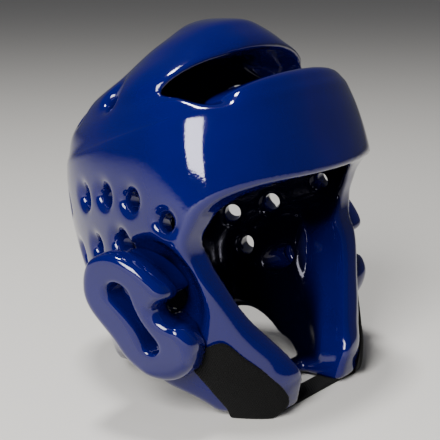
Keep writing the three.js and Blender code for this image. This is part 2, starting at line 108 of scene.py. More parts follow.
def spline(knots: Array, closed: bool, steps: int) -> Array:
    """Smooth curve through knots.

    Args:
        knots: one row of coordinates for each knot.
        closed: whether the curve comes back to its first knot.
        steps: points between two knots.

    Returns:
        The points of the curve, one in each row.
    """
    knots = np.asarray(knots, float)
    count = len(knots)
    spans = count if closed else count - 1
    points = []
    for i in range(spans):
        if closed:
            p0, p1, p2, p3 = (knots[(i + k) % count] for k in (-1, 0, 1, 2))
        else:
            p0, p1, p2, p3 = (knots[min(max(i + k, 0), count - 1)] for k in (-1, 0, 1, 2))
        for f in np.arange(steps) / steps:
            points.append(0.5 * (
                2 * p1 + (p2 - p0) * f + (2 * p0 - 5 * p1 + 4 * p2 - p3) * f ** 2
                + (3 * p1 - p0 - 3 * p2 + p3) * f ** 3))
    if not closed:
        points.append(knots[-1])
    return np.array(points)


def outline_distance(points: Array, u: Array, v: Array) -> Array:
    """Distance from a grid of places to a closed outline.

    Args:
        points: corners of the outline, one in each row.
        u: first coordinates of the grid.
        v: second coordinates of the grid.

    Returns:
        The distances, negative inside the outline, one for each u and v.
    """
    grid_u, grid_v = np.meshgrid(u, v, indexing="ij")
    best = np.full(grid_u.shape, 1e9)
    inside = np.zeros(grid_u.shape, bool)
    for (au, av), (bu, bv) in zip(points, np.roll(points, -1, axis=0)):
        du, dv = bu - au, bv - av
        length = du * du + dv * dv
        if length < 1e-9:
            continue
        t = np.clip(((grid_u - au) * du + (grid_v - av) * dv) / length, 0, 1)
        best = np.minimum(best, np.hypot(grid_u - au - t * du, grid_v - av - t * dv))
        if abs(dv) > 1e-9:
            crosses = (av > grid_v) != (bv > grid_v)
            inside ^= crosses & (grid_u < du * (grid_v - av) / dv + au)
    return np.where(inside, -best, best)


def round_and(a: Array, b: Array, radius: float | Array) -> Array:
    """What two forms share, with a rounded edge where they meet.

    Args:
        a: distance to the first form.
        b: distance to the second form.
        radius: of the edge, one for all places or one for each.

    Returns:
        The distances to what they share.
    """
    u = np.maximum(a + radius, 0)
    v = np.maximum(b + radius, 0)
    return np.minimum(-radius, np.maximum(a, b)) + np.hypot(u, v)


def round_or(a: Array, b: Array, radius: float) -> Array:
    """Two forms joined, with a hollow fillet of that radius where they meet."""
    return -round_and(-a, -b, radius)


def from_axis(offsets: tuple[Array, Array, Array], axis: Array) -> tuple[Array, Array]:
    """Where places lie about an axis.

    Args:
        offsets: X, Y and Z from a point on the axis.
        axis: its direction, of length 1.

    Returns:
        How far along the axis each place is, and how far from it.
    """
    x, y, z = offsets
    along = x * axis[0] + y * axis[1] + z * axis[2]
    square = x ** 2 + y ** 2 + z ** 2 - along ** 2
    return along, np.sqrt(np.maximum(square, 0))


def bezier(knots: list[Pair], steps: int) -> Array:
    """Points of one Bezier arc.

    Args:
        knots: its two ends with the control points between them, in order.
        steps: points on the arc, without its last end.

    Returns:
        The points, one in each row.
    """
    t = (np.arange(steps) / steps)[:, None]
    last = len(knots) - 1
    return sum(math.comb(last, k) * (1 - t) ** (last - k) * t ** k * np.array(knot, float)
               for k, knot in enumerate(knots))


def smooth_step(value: Array, low: float, high: float) -> Array:
    """Soft step from 0 at low to 1 at high."""
    t = np.clip((value - low) / (high - low), 0, 1)
    return t * t * (3 - 2 * t)


@dataclass(frozen=True)
class Lattice:
    """Regular lattice of places, in millimetres.

    Args:
        low: first place on each axis, in whole steps.
        high: last place on each axis, in whole steps.
        step: distance between two places.
    """

    low: tuple[int, int, int]
    high: tuple[int, int, int]
    step: float

    @classmethod
    def over(cls, low: tuple, high: tuple, step: float) -> "Lattice":
        """Lattice between two corners given in millimetres."""
        return cls(tuple(int(v / step) for v in low), tuple(int(v / step) for v in high), step)

    def axes(self) -> tuple[Array, Array, Array]:
        """Coordinates along X, Y and Z."""
        return tuple(np.arange(a, b + 1) * self.step for a, b in zip(self.low, self.high))

    def grids(self) -> tuple[Array, Array, Array]:
        """Coordinates along X, Y and Z, shaped so that they spread over the lattice."""
        x, y, z = self.axes()
        return x[:, None, None], y[None, :, None], z[None, None, :]

    def shape(self) -> tuple[int, int, int]:
        """Number of places along each axis."""
        return tuple(b - a + 1 for a, b in zip(self.low, self.high))

    def sample(self, field: Array, points: Array) -> Array:
        """Values of a field between the lattice's places.

        Args:
            field: one value for each place.
            points: where to read it, one point in each row.

        Returns:
            One value for each point.
        """
        spot = points / self.step - np.array(self.low)
        top = np.array(field.shape[:3]) - 2
        cell = np.clip(np.floor(spot).astype(int), 0, top)
        f = np.clip(spot - cell, 0, 1)
        out = 0.0
        for corner in range(8):
            o = np.array([corner >> 2 & 1, corner >> 1 & 1, corner & 1])
            weight = np.prod(np.where(o, f, 1 - f), axis=-1)
            i, j, k = (cell + o).reshape(-1, 3).T
            value = field[i, j, k].reshape(weight.shape + field.shape[3:])
            out = out + (value * weight[..., None] if field.ndim > 3 else value * weight)
        return out


def section_values(level: Array) -> dict[str, Array]:
    """Section of the shell at given levels.

    Args:
        level: rows of SECTIONS, counted from 0 and not only whole.

    Returns:
        Height, half width, front and back reach, centre and front exponent, in millimetres.
    """
    last = len(SECTIONS) - 1
    i = np.minimum(level.astype(int), last - 1)
    f = (level - i)[:, None]
    p0, p1 = SECTIONS[np.maximum(i - 1, 0)], SECTIONS[i]
    p2, p3 = SECTIONS[i + 1], SECTIONS[np.minimum(i + 2, last)]
    row = 0.5 * (2 * p1 + (p2 - p0) * f + (2 * p0 - 5 * p1 + 4 * p2 - p3) * f ** 2
                 + (3 * p1 - p0 - 3 * p2 + p3) * f ** 3)
    return {
        "z": row[:, 0] * CROWN_HEIGHT,
        "half": row[:, 1] * HALF_WIDTH,
        "front": row[:, 2] * FRONT_REACH,
        "back": row[:, 3] * BACK_REACH,
        "centre": EAR_LINE - row[:, 4] * FRONT_REACH,
        "square": row[:, 5],
    }


def skin_form(lattice: Lattice) -> Array:
    """Distance to the shell's outer skin before anything is cut from it.

    Args:
        lattice: where to measure it.

    Returns:
        The distances, negative inside.
    """
    sides, rings = 240, 200
    s = section_values(np.linspace(0, len(SECTIONS) - 1, rings))
    turn = 2 * math.pi * np.arange(sides) / sides
    c, d = np.cos(turn)[None], np.sin(turn)[None]
    power = np.where(d < 0, 2 / s["square"][:, None], 2 / BACK_SQUARE)
    reach = np.where(d < 0, s["front"][:, None], s["back"][:, None])
    x = s["half"][:, None] * np.sign(c) * np.abs(c) ** power
    y = s["centre"][:, None] + reach * np.sign(d) * np.abs(d) ** power
    z = np.repeat(s["z"][:, None], sides, axis=1)
    points = np.stack([x, y, z], -1).reshape(-1, 3)
    ends = np.array([[0, s["centre"][0], s["z"][0]], [0, s["centre"][-1], CROWN_HEIGHT]])
    i, j = np.meshgrid(np.arange(rings - 1), np.arange(sides), indexing="ij")
    a = (i * sides + j).ravel()
    b = (i * sides + (j + 1) % sides).ravel()
    quads = np.stack([a, b, b + sides, a + sides], -1)
    j = np.arange(sides)
    n = (j + 1) % sides
    base = len(points)
    top = (rings - 1) * sides
    fans = np.vstack([
        np.stack([np.full(sides, base), n, j], -1),
        np.stack([np.full(sides, base + 1), top + j, top + n], -1)])
    grid = openvdb.FloatGrid.createLevelSetFromPolygons(
        np.vstack([points, ends]).astype(np.float32),
        triangles=fans.astype(np.uint32), quads=quads.astype(np.uint32),
        transform=openvdb.createLinearTransform(voxelSize=lattice.step),
        exBandWidth=KNOWN_OUTSIDE / lattice.step, inBandWidth=KNOWN_INSIDE / lattice.step)
    field = np.zeros(lattice.shape(), np.float32)
    grid.copyToArray(field, ijk=lattice.low)
    return field


def softened(field: Array, times: int) -> Array:
    """A field with each value averaged with its neighbours.

    Args:
        field: one value for each place of a lattice.
        times: how often it is averaged.

    Returns:
        The softer field.
    """
    for _ in range(times):
        for axis in range(3):
            pad = np.concatenate([field.take([0], axis), field, field.take([-1], axis)], axis)
            size = field.shape[axis]
            low, mid, high = (pad.take(range(k, k + size), axis) for k in (0, 1, 2))
            field = (low + 2 * mid + high) / 4
    return field


def lean_back(y: Array, z: Array) -> tuple[Array, Array]:
    """Upright Y and Z turned as the headgear leans back."""
    c, s = math.cos(REST_TILT), math.sin(REST_TILT)
    return y * c + z * s, -y * s + z * c


def lying(points: Array) -> Array:
    """Upright points leant back and placed on the frame, in metres."""
    y, z = lean_back(points[:, 1], points[:, 2])
    return np.stack([points[:, 0], y + SHIFT_Y, z], -1) / MM


def upright(places: Array) -> Array:
    """Places on the frame taken back to the upright form.

    Args:
        places: one in each row, in metres.

    Returns:
        The upright places, in millimetres.
    """
    c, s = math.cos(REST_TILT), math.sin(REST_TILT)
    y, z = places[:, 1] * MM - SHIFT_Y, places[:, 2] * MM
    return np.stack([places[:, 0] * MM, y * c - z * s, y * s + z * c], -1)


def leant(directions: Array) -> Array:
    """Upright directions leant back as the headgear lies."""
    return np.stack([directions[:, 0], *lean_back(directions[:, 1], directions[:, 2])], -1)


def meshed(name: str, lattice: Lattice, field: Array, side: Side = Side.LEFT) -> bpy.types.Object:
    """Mesh of the surface where a field is zero, with the field's own smooth normals.

    Args:
        name: the new object's name.
        lattice: where the field is known.
        field: distances, negative inside.
        side: RIGHT mirrors the form to the wearer's right.

    Returns:
        The new object, at the origin, with its place in its mesh.
    """
    passes, flattest, stride = 3, 0.05, lattice.step * 0.5
    grid = openvdb.FloatGrid(float(lattice.step * 4))
    grid.copyFromArray(np.ascontiguousarray(field, np.float32), ijk=lattice.low)
    grid.transform = openvdb.createLinearTransform(voxelSize=lattice.step)
    points, triangles, quads = grid.convertToPolygons(isovalue=0.0, adaptivity=0.0)
    points = points.astype(float)
    slope = np.stack(np.gradient(field, lattice.step), -1)
    for _ in range(passes):
        gradient = lattice.sample(slope, points)
        size = np.maximum((gradient ** 2).sum(-1, keepdims=True), flattest)
        step = lattice.sample(field, points)[:, None] * gradient / size
        points = points - np.clip(step, -stride, stride)
    normals = lattice.sample(slope, points)
    normals /= np.maximum(np.linalg.norm(normals, axis=1, keepdims=True), 1e-9)
    flip = np.array([side.value, 1, 1])
    points, normals = lying(points * flip), leant(normals * flip)
    faces = [f[::-1] for f in quads.tolist()] + [f[::-1] for f in triangles.tolist()]
    mesh = bpy.data.meshes.new(name)
    mesh.from_pydata(points.tolist(), [], faces)
    mesh.update()
    first = mesh.polygons[0]
    mean = normals[list(first.vertices)].mean(axis=0)
    if float(np.dot(np.array(first.normal), mean)) < 0:
        mesh.flip_normals()
    mesh.shade_smooth()
    mesh.normals_split_custom_set_from_vertices(normals.tolist())
    piece = bpy.data.objects.new(name, mesh)
    bpy.context.scene.collection.objects.link(piece)
    return piece


def feed(tree: Tree, socket: Socket, value: object) -> None:
    """Gives an input its value.

    Args:
        tree: the nodes that it belongs to.
        socket: the input.
        value: another node's socket, a number, or a colour of three shares.
    """
    if isinstance(value, Socket):
        tree.links.new(value, socket)
    else:
        socket.default_value = (*value, 1.0) if isinstance(value, tuple) else value


def made(tree: Tree, kind: str, inputs: dict, **settings: object) -> Outputs:
    """Shader node with its settings and inputs.

    Args:
        tree: the nodes that it joins.
        kind: its type.
        inputs: what each of its inputs gets.
        settings: its own properties.

    Returns:
        Its outputs.
    """
    node = tree.nodes.new(f"ShaderNode{kind}")
    for name, value in settings.items():
        setattr(node, name, value)
    for label, value in inputs.items():
        feed(tree, node.inputs[label], value)
    return node.outputs


def math_node(tree: Tree, how: str, *values: object) -> Socket:
    """Result of a math operation on sockets or numbers."""
    return made(tree, "Math", dict(enumerate(values)), operation=how)[0]


def map_range(tree: Tree, value: Socket, to: Pair, ends: Pair = (0.0, 1.0)) -> Socket:
    """Value spread from between its ends to another range, and kept inside it."""
    return made(tree, "MapRange", {"Value": value, "From Min": ends[0], "From Max": ends[1],
                                   "To Min": to[0], "To Max": to[1]})["Result"]


def colour_mix(tree: Tree, factor: Socket, a: object, b: object) -> Socket:
    """Colour between two colours or their sockets."""
    return made(tree, "Mix", {"Factor": factor, "A": a, "B": b}, data_type="RGBA")["Result"]


def noise(tree: Tree, scale: object, detail: float, roughness: float = 0.5) -> Socket:
    """Noise over the object's own space."""
    place = made(tree, "TexCoord", {})["Object"]
    return made(tree, "TexNoise", {"Vector": place, "Scale": scale, "Detail": detail,
                                   "Roughness": roughness})["Fac"]


def bump_node(tree: Tree, strength: float, distance: float, height: Socket) -> Socket:
    """Normal bent by a height, with the depth for a height of 1 in metres."""
    return made(tree, "Bump", {"Strength": strength, "Distance": distance,
                               "Height": height})["Normal"]


def attribute(tree: Tree, name: str) -> Socket:
    """Value that the mesh holds at each of its places."""
    return made(tree, "Attribute", {}, attribute_name=name)["Fac"]


class Effects:
    """Shader node groups shared by the finishes, each built once."""

    def __init__(self) -> None:
        """Builds every group."""
        self.ripple = self._ripple()
        self.handling = self._handling()
        self.weave = self._weave()

    @staticmethod
    def _group(name: str, inputs: dict[str, float],
               outputs: list[str]) -> tuple[Tree, ...]:
        """Empty group with its sockets, all of them numbers.

        Args:
            name: the group's name.
            inputs: default of each input.
            outputs: names of the outputs.

        Returns:
            The group, its input node and its output node.
        """
        tree = bpy.data.node_groups.new(name, "ShaderNodeTree")
        for label, default in inputs.items():
            socket = tree.interface.new_socket(
                label, in_out="INPUT", socket_type="NodeSocketFloat")
            socket.default_value = default
        for label in outputs:
            tree.interface.new_socket(label, in_out="OUTPUT", socket_type="NodeSocketFloat")
        return tree, tree.nodes.new("NodeGroupInput"), tree.nodes.new("NodeGroupOutput")

    def _ripple(self) -> Tree:
        """Slow waves of a dipped skin, with its fine orange peel.

        Returns:
            The group, with the skin's height and the shade of its waves.
        """
        tree, source, sink = self._group(
            "dipped_skin_ripple",
            {"Wave Scale": 28.0, "Peel Scale": 420.0, "Peel Share": 0.12}, ["Height", "Shade"])
        wave = noise(tree, source.outputs["Wave Scale"], 1.0)
        peel = noise(tree, source.outputs["Peel Scale"], 2.0)
        fine = math_node(tree, "MULTIPLY", peel, source.outputs["Peel Share"])
        tree.links.new(math_node(tree, "ADD", wave, fine), sink.inputs["Height"])
        tree.links.new(wave, sink.inputs["Shade"])
        return tree

    def _handling(self) -> Tree:
        """Faint smears from handling.

        Returns:
            The group, with how much each place is smeared.
        """
        tree, source, sink = self._group("handling_marks", {"Smear Scale": 9.0}, ["Smear"])
        smear = noise(tree, source.outputs["Smear Scale"], 5.0, 0.62)
        tree.links.new(map_range(tree, smear, (0.0, 1.0), (0.48, 0.72)), sink.inputs["Smear"])
        return tree

    def _weave(self) -> Tree:
        """Plain weave of webbing, along and across its own length, with a soft nap.

        Returns:
            The group, with the height of the threads and their nap.
        """
        nap_scale, nap_detail, nap_share = 900.0, 4.0, 0.6
        tree, source, sink = self._group(
            "webbing_weave", {"Along": 0.0, "Across": 0.0, "Pitch": 0.0011}, ["Height", "Nap"])
        warp, weft = (math_node(tree, "DIVIDE", source.outputs[label], source.outputs["Pitch"])
                      for label in ("Across", "Along"))
        humps = []
        for cell in (warp, weft):
            wave = math_node(tree, "SINE", math_node(tree, "MULTIPLY", cell, math.pi))
            humps.append(math_node(tree, "ABSOLUTE", wave))
        turn = math_node(tree, "ADD", math_node(tree, "FLOOR", warp),
                         math_node(tree, "FLOOR", weft))
        odd = math_node(tree, "ABSOLUTE", math_node(tree, "MODULO", turn, 2.0))
        over = math_node(tree, "MULTIPLY", humps[0], odd)
        under = math_node(tree, "MULTIPLY", humps[1], math_node(tree, "SUBTRACT", 1.0, odd))
        threads = math_node(tree, "ADD", over, under)
        nap = noise(tree, nap_scale, nap_detail)
        fuzz = math_node(tree, "MULTIPLY", nap, nap_share)
        tree.links.new(math_node(tree, "ADD", threads, fuzz), sink.inputs["Height"])
        tree.links.new(nap, sink.inputs["Nap"])
        return tree


def finished(name: str) -> tuple[bpy.types.Material, bpy.types.Node]:
    """New material and its Principled BSDF.

    Args:
        name: the material's name.

    Returns:
        The material and its shader.
    """
    material = bpy.data.materials.new(name)
    material.use_nodes = True
    return material, material.node_tree.nodes["Principled BSDF"]


@dataclass(frozen=True)
class DippedVinyl:
    """Glossy vinyl skin that foam gets when it is dipped.

    Args:
        name: the material's name.
        deep: colour in the thick parts of the skin.
        bright: colour where the skin is thin.
        hollow_shade: near-black colour painted inside the hollow as shade.
        gloss: roughness where it is clean.
        rubbed: roughness where hands have smeared it.
        swell: depth of the slow waves, in metres.
        inside_dull: how much rougher the skin inside the hollow is.
        inside_shine: specular level of the skin inside the hollow.
        coat: weight of the clear coat outside.
        seam_half: half width of the seam's step, in millimetres.
    """

    name: str
    deep: Triple = (0.0004, 0.0002, 0.056)
    bright: Triple = (0.0005, 0.0003, 0.078)
    hollow_shade: Triple = (0.0004, 0.0005, 0.006)
    gloss: float = 0.06
    rubbed: float = 0.15
    swell: float = 0.0011
    inside_dull: float = 0.05
    inside_shine: float = 0.16
    coat: float = 0.3
    seam_half: float = 0.45

    def material(self, effects: Effects) -> bpy.types.Material:
        """The finish as a material.

        Args:
            effects: the shared node groups.

        Returns:
            The new material.
        """
        material, shader = finished(self.name)
        tree = material.node_tree
        ripple = made(tree, "Group", {}, node_tree=effects.ripple)
        marks = made(tree, "Group", {}, node_tree=effects.handling)
        # Deeper in the foam the colour is mixed to near black: painted shade inside the hollow.
        inner = attribute(tree, "inside")
        skin = colour_mix(tree, ripple["Shade"], self.deep, self.bright)
        rough = map_range(tree, marks["Smear"], (self.gloss, self.rubbed))
        step = map_range(tree, attribute(tree, "over_seam"), (0.0, 1.0),
                         (-self.seam_half, self.seam_half))
        sunk = math_node(tree, "MULTIPLY", step, attribute(tree, "seam_share"))
        height = math_node(tree, "SUBTRACT", ripple["Height"], sunk)
        looks = {
            "Base Color": colour_mix(tree, inner, skin, self.hollow_shade),
            "Roughness": math_node(tree, "MULTIPLY_ADD", inner, self.inside_dull, rough),
            "IOR": 1.52,
            "Specular IOR Level": map_range(tree, inner, (0.5, self.inside_shine)),
            "Specular Tint": (0.84, 0.82, 1.0),
            "Coat Weight": map_range(tree, inner, (self.coat, 0.0)),
            "Coat Roughness": 0.03,
            "Normal": bump_node(tree, 0.35, self.swell, height),
        }
        for label, value in looks.items():
            feed(tree, shader.inputs[label], value)
        return material


@dataclass(frozen=True)
class Webbing:
    """Soft black elastic webbing.

    Args:
        name: the material's name.
        gap_shade: colour between the threads, painted shade where they sink.
        light: colour of the nap on top.
        pitch: width of one thread, in metres.
    """

    name: str
    gap_shade: Triple = (0.0006, 0.0006, 0.0007)
    light: Triple = (0.0032, 0.0031, 0.003)
    pitch: float = 0.0012

    def material(self, effects: Effects) -> bpy.types.Material:
        """The finish as a material.

        Args:
            effects: the shared node groups.

        Returns:
            The new material.
        """
        material, shader = finished(self.name)
        tree = material.node_tree
        lengths = made(tree, "UVMap", {}, uv_map="lengths")["UV"]
        parts = made(tree, "SeparateXYZ", {"Vector": lengths})
        weave = made(tree, "Group", {"Pitch": self.pitch, "Along": parts["X"],
                                     "Across": parts["Y"]}, node_tree=effects.weave)
        height = weave["Height"]
        # Colour follows the threads' height and the nap: darker where the threads sink, as
        # painted shade between them, with the nap's own random tone on top.
        shade = math_node(tree, "MULTIPLY", height, weave["Nap"])
        looks = {
            "Base Color": colour_mix(tree, shade, self.gap_shade, self.light),
            "Roughness": 0.88,
            "Sheen Weight": 0.03,
            "Sheen Roughness": 0.5,
            "Specular IOR Level": 0.12,
            "Normal": bump_node(tree, 0.8, 0.0005, height),
        }
        for label, value in looks.items():
            feed(tree, shader.inputs[label], value)
        return material


@dataclass(frozen=True)
class PaperFloor:
    """Plain pale backdrop paper.

    Args:
        name: the material's name.
        pale: its colour.
    """

    name: str
    pale: Triple = (0.66, 0.64, 0.6)

    def material(self) -> bpy.types.Material:
        """The finish as a material.

        Returns:
            The new material.
        """
        material, shader = finished(self.name)
        shader.inputs["Base Color"].default_value = (*self.pale, 1.0)
        shader.inputs["Roughness"].default_value = 0.9
        return material


@dataclass(frozen=True)
class Shell:
    """The hollow foam helmet.

    Args:
        wall: thickness of the foam.
        cheek_extra: how much thicker it is from the ears down to the jaw.
        rim_round: radius of the rolled edges of the openings.
        jaw_round: how much softer their inner edge is at the jaw.
        brow_round: radius of the crisper edges of the forehead band.
        brow_bevel: how much the brow comes down for each unit of depth in the foam.
        brow_height: of the brow in the middle.
        brow_arch: how far it arches.
        opening_half: half width of the face opening at the eyes.
        opening_chin: its half width at the chin.
        opening_fillet: radius between what is cut from the side and from the front.
        rim_line: place of the opening's rim along Y.
        band_top: top of the forehead band in the middle.
        band_fall: how far it falls to its ends.
        crescent_half: half width of the crescent.
        crescent_rise: its height over the band.
        crescent_back: how far back it goes, along Y.
        end_bowl: how much softer its edge is at its ends.
        hood_roll: how far its edge stands out over the crescent.
        vent_radius: half width of a vent's throat.
        vent_round: radius of a vent's soft mouth.
        vent_lip: radius of its edge inside.
        seam_height: height of the mould seam.
        seam_step: how far the crown steps in above it.
        ear_hole: its place, as Y and Z.
        ear_hole_radius: its half width.
        ear_hole_slant: how far it goes forward for each unit outward.
        dish_floor: place of the ear dish's floor, along X.
        dish_radii: the dish's radii.
        vents: place along Y, height, share of the radius, and how its way out leans up.
        brow_curve: from the rim back, along Y and as a share of the arch.
        rim_curve: outline of the rim from the side, Y from its line and height.
        opening_curve: outline from the front, share of the half width and height.
        neck_curve: outline of the neck from behind round to the chin, Y and Z.
    """

    wall: float = 19.0
    cheek_extra: float = 16.0
    rim_round: float = 4.0
    jaw_round: float = 5.0
    brow_round: float = 3.5
    brow_bevel: float = 0.18
    brow_height: float = 112.0
    brow_arch: float = 7.0
    opening_half: float = 77.0
    opening_chin: float = 27.0
    opening_fillet: float = 5.0
    rim_line: float = -93.0
    band_top: float = 187.0
    band_fall: float = 11.0
    crescent_half: float = 80.0
    crescent_rise: float = 21.0
    crescent_back: float = -72.0
    end_bowl: float = 4.0
    hood_roll: float = 5.5
    vent_radius: float = 6.3
    vent_round: float = 7.5
    vent_lip: float = 2.0
    seam_height: float = 175.0
    seam_step: float = 1.4
    ear_hole: Pair = (-49.15, 63.5)
    ear_hole_radius: float = 8.0
    ear_hole_slant: float = 0.72
    dish_floor: float = 74.05
    dish_radii: Triple = (58.0, 53.0, 56.0)
    vents: tuple[tuple[float, float, float, float], ...] = (
        (-2, 145.5, 1, 0.22), (-30, 142, 1, 0.22), (-57, 134, 1, 0.22), (-83, 114.5, 0.9, 0.22),
        (-2, 110, 1, 0.22), (-35, 110, 1, 0.22), (-8, 82, 1, 0.22), (-46, 206, 1.35, 0.22),
        (2, 206, 1.35, 0.22), (40, 145, 1, 0), (32, 108, 1, 0), (48, 78, 1, 0))
    brow_curve: tuple[Pair, ...] = (
        (-60, 0), (-55, 0.7), (-44, 1.1), (-28, 0.95), (-15, 0.2))
    rim_curve: tuple[Pair, ...] = (
        (-7, 106), (1, 96), (3, 82), (-1, 64), (-2, 36), (-6, 8), (-8, -8), (-1, -20),
        (8, -34))
    opening_curve: tuple[Pair, ...] = (
        (0.8, 114), (0.91, 108), (0.97, 98), (0.97, 84), (0.92, 70), (0.78, 52), (0.6, 37),
        (0.02, -7), (0.0, -60))
    neck_curve: tuple[Pair, ...] = (
        (90, 15), (60, 18), (44, 24), (22, 34), (0, 33), (-16, 24), (-30, 10), (-42, 1),
        (-50, -9), (-54, -22), (-56, -38))

    def _cheek(self, y: Array, z: Array) -> Array:
        """Share of the thicker foam, from the ears down to the jaw."""
        level, front = (-104.0, -62.0), (-12.0, 34.0)
        return smooth_step(-z, *level) * smooth_step(-y, *front)

    def _face_cut(self, lattice: Lattice) -> Array:
        """What the face opening takes away, from the side and from the front.

        Args:
            lattice: where to measure it.

        Returns:
            The distances, negative in the opening.
        """
        x, y, z = lattice.axes()
        brow = [(self.rim_line + s, self.brow_height + lift * self.brow_arch)
                for s, lift in self.brow_curve]
        rim = [(self.rim_line + s, height) for s, height in self.rim_curve]
        curve = spline(np.array(brow + rim), False, CURVE_STEPS)
        side = np.vstack([[-FAR, brow[0][1]], curve, [curve[-1][0], -FAR], [-FAR, -FAR]])
        front = outline_distance(side, y, z)[None]
        reach = self.opening_half - self.opening_chin
        edge = spline(np.array([(self.opening_chin + share * reach, height)
                                for share, height in self.opening_curve]), False, CURVE_STEPS)
        opening = np.vstack([edge, edge[::-1] * np.array([-1, 1])])
        hole = outline_distance(opening, x, z)[:, None]
        hole = np.maximum(hole, lattice.grids()[1] - EAR_LINE)
        return round_or(np.broadcast_to(front, lattice.shape()), hole, self.opening_fillet)

    def _crescent(self, lattice: Lattice) -> Array:
        """The crescent's outline from the front.

        Args:
            lattice: where to measure it.

        Returns:
            The distances in X and Z, negative inside the outline.
        """
        end_steps, hood_steps, band_steps = 8, 24, 40
        end = self.band_top - self.band_fall
        half = self.crescent_half
        top = self.band_top + self.crescent_rise
        blunt = self.crescent_rise * 0.6
        corner = half - blunt
        left = [(-half, end + blunt), (-half, end), (-corner, end)]
        crest = self.band_top + self.band_fall / 3
        band = [(-corner, end), (-half * 0.85, crest), (half * 0.85, crest), (corner, end)]
        hood = [(half, end + blunt), (half, top - 3), (half * 0.5, top), (0, top)]
        outline = np.vstack([
            bezier(left, end_steps), bezier(band, band_steps),
            bezier([(-x, z) for x, z in left[::-1]], end_steps), bezier(hood, hood_steps),
            bezier([(-x, z) for x, z in hood[::-1]], hood_steps)])
        x, _, z = lattice.axes()
        return outline_distance(outline, x, z)[:, None]

    def _vents(self, lattice: Lattice, field: Array, skin: Array) -> Array:
        """Cuts the vents on both sides, each square to the skin at its place.

        Args:
            lattice: where the fields are known.
            field: distance to the shell without its vents.
            skin: distance to the outer skin.

        Returns:
            The distance to the shell with its vents.
        """
        reaches = np.linspace(10, 115, 400)
        depths, middle, half = (-14.0, -6.0), 8.0, 34.0
        slope = np.stack(np.gradient(skin, lattice.step), -1)
        grid_x, grid_y, grid_z = lattice.grids()
        grid_x = np.abs(grid_x)
        out = field.copy()
        blend = smooth_step(skin, *depths)
        mouth = self.vent_lip + (self.vent_round - self.vent_lip) * blend
        for y, z, share, rise in self.vents:
            probe = np.stack([reaches, np.full(reaches.shape, y), np.full(reaches.shape, z)], -1)
            x = float(probe[np.argmin(np.abs(lattice.sample(skin, probe))), 0])
            axis = lattice.sample(slope, np.array([[x, y, z]], float))[0]
            axis += np.array([0.0, -abs(rise), rise])
            axis /= np.linalg.norm(axis)
            along, off = from_axis((grid_x - x, grid_y - y, grid_z - z), axis)
            hole = off - self.vent_radius * share
            hole = np.maximum(hole, np.abs(along + middle) - half)
            out = round_and(out, -hole, mouth)
        return out

    def dish(self, side: Array, y: Array, z: Array) -> Array:
        """The round dish that an ear pad lies in.

        Args:
            side: distance from the middle, along X.
            y: places along Y.
            z: places along Z.

        Returns:
            The distances, negative in the dish.
        """
        k = [side - (self.dish_floor + self.dish_radii[0]), y - self.ear_hole[0],
             z - self.ear_hole[1]]
        k0 = np.sqrt(sum((a / r) ** 2 for a, r in zip(k, self.dish_radii)))
        k1 = np.sqrt(sum((a / r ** 2) ** 2 for a, r in zip(k, self.dish_radii)))
        return k0 * (k0 - 1) / np.maximum(k1, 1e-6)

    def _ears(self, field: Array, side: Array, y: Array, z: Array) -> Array:
        """Cuts the ear dishes and the ear holes.

        Args:
            field: distance to the shell without them.
            side: distance from the middle, along X.
            y: places along Y.
            z: places along Z.

        Returns:
            The distance to the shell with them.
        """
        dish_round, hole_reach, hole_round = 3.0, 40.0, 2.5
        field = round_and(field, -self.dish(side, y, z), dish_round)
        axis = np.array([1.0, -self.ear_hole_slant, 0.0])
        axis /= np.linalg.norm(axis)
        out = side - self.dish_floor
        _, off = from_axis((out, y - self.ear_hole[0], z - self.ear_hole[1]), axis)
        hole = np.maximum(off - self.ear_hole_radius, -out - hole_reach)
        return round_and(field, -hole, hole_round)

    def field(self, lattice: Lattice, skin: Array) -> Array:
        """Distance to the finished shell.

        Args:
            lattice: where to measure it.
            skin: distance to the outer skin.

        Returns:
            The distances, negative inside the foam.
        """
        hood_level, hood_round, hood_crisp = (2.0, 16.0), 1.5, 0.8
        roll_reach, roll_front, end_reach = (-38.0, -18.0), (34.0, 84.0), (58.0, 76.0)
        brow_level, jaw_depth, seam_rise = (60.0, 114.0), (12.0, 26.0), 1.5
        strap_room, rest_round = 2.8, 2.0
        x, y, z = lattice.grids()
        crescent = self._crescent(lattice)
        hood = smooth_step(z, self.band_top + hood_level[0],
                           self.band_top + hood_level[1])
        roll = smooth_step(-crescent, *roll_reach) * hood
        roll = roll * smooth_step(-y, *roll_front)
        outer = skin - self.hood_roll * roll
        outer = outer + self.seam_step * smooth_step(
            z, self.seam_height, self.seam_height + seam_rise)
        cheek = self._cheek(y, z)
        wall = np.maximum(outer, -(skin + self.wall + self.cheek_extra * cheek))
        brow = smooth_step(z, *brow_level)
        cuts = self._face_cut(lattice) + self.brow_bevel * brow * np.clip(-skin, 0, self.wall)
        edge = self.rim_round + (self.brow_round - self.rim_round) * brow
        edge = edge + self.jaw_round * cheek * smooth_step(-skin, *jaw_depth)
        shell = round_and(wall, -cuts, edge)
        deep = np.maximum(crescent, y - self.crescent_back)
        bowl = self.end_bowl * smooth_step(np.abs(x), *end_reach)
        bowl = bowl * (1 - hood_crisp * hood)
        shell = round_and(shell, -deep, self.brow_round + hood_round * hood + bowl)
        _, ay, az = lattice.axes()
        neck = spline(np.array(self.neck_curve, float), False, CURVE_STEPS)
        below = np.vstack([[FAR, -FAR], [FAR, neck[0][1]], neck, [neck[-1][0], -FAR]])
        shell = round_and(shell, -outline_distance(below, ay, az)[None], self.rim_round)
        shell = self._ears(shell, np.abs(x), y, z)
        shell = self._vents(lattice, shell, skin)
        lying_y, lying_z = lean_back(y, z)
        floor = np.where(lying_y > 0, lying_z, lying_z - strap_room)
        return round_and(shell, -floor, rest_round)

